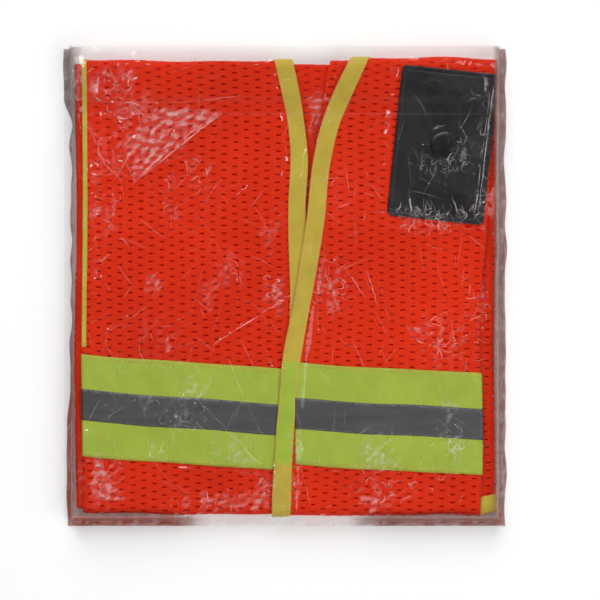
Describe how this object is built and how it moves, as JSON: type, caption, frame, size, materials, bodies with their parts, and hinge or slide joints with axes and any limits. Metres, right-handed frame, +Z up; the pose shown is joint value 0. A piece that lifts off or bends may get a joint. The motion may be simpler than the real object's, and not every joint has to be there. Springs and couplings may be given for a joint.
{
  "type": "high visibility vest",
  "caption": "Folded high visibility mesh vest with bound edges, reflective tape and a snap chest pocket, in a clear film bag with a peel-back flap.",
  "frame": {"origin": "middle of the pack's footprint, on the surface that it lies on", "axes": "+Z up out of the pack's face, +Y along the garment towards its shoulders and the bag's mouth, +X towards the wearer's left"},
  "size_m": [0.312, 0.3374, 0.0189],
  "materials": {
    "mesh": "fluorescent orange-red knitted polyester mesh with small slit holes",
    "binding": "olive-yellow woven binding, folded over the edge and stitched",
    "tape": "lime woven tape with a fine upright rib",
    "stripe": "grey glass-bead reflective stripe, satin",
    "vinyl": "soft black vinyl sheet, satin",
    "snap": "black moulded plastic",
    "film": "clear crinkled polypropylene film",
    "adhesive": "clear pressure-sensitive adhesive"
  },
  "bodies": {
    "bag": {"bag_back_film": "film", "bag_front_film": "film", "bag_mouth_turn": "film"},
    "flap": {"bag_flap": "film", "bag_adhesive_strip": "adhesive"},
    "vest": {"left_front_panel": "mesh", "right_front_panel": "mesh", "back_panel": "mesh", "left_front_binding": "binding", "right_front_binding": "binding", "back_neck_binding": "binding", "right_armhole_binding": "binding", "left_armhole_binding": "binding", "left_hem_binding": "binding", "right_hem_binding": "binding", "back_hem_binding": "binding", "left_tape": "tape", "right_tape": "tape", "back_tape": "tape", "left_stripe": "stripe", "right_stripe": "stripe", "back_stripe": "stripe", "pocket_back": "vinyl", "pocket_front": "vinyl", "pocket_snap_cap": "snap", "pocket_snap_ring": "snap"}
  },
  "joints": [
    {"name": "vest_slide", "type": "slide", "parent": "bag", "child": "vest", "axis": [0, 1, 0], "range_m": [0, 0.335], "deforming": ["bag_mouth_turn"]},
    {"name": "flap_peel", "type": "hinge", "parent": "bag", "child": "flap", "pos_m": [0, 0.16858, 0.01881], "axis": [-1, 0, 0], "range_deg": [0, 180]}
  ],
  "couplings": [
    {"joint": "flap_peel", "follows": "vest_slide", "rad_per_m": 9.3}
  ]
}
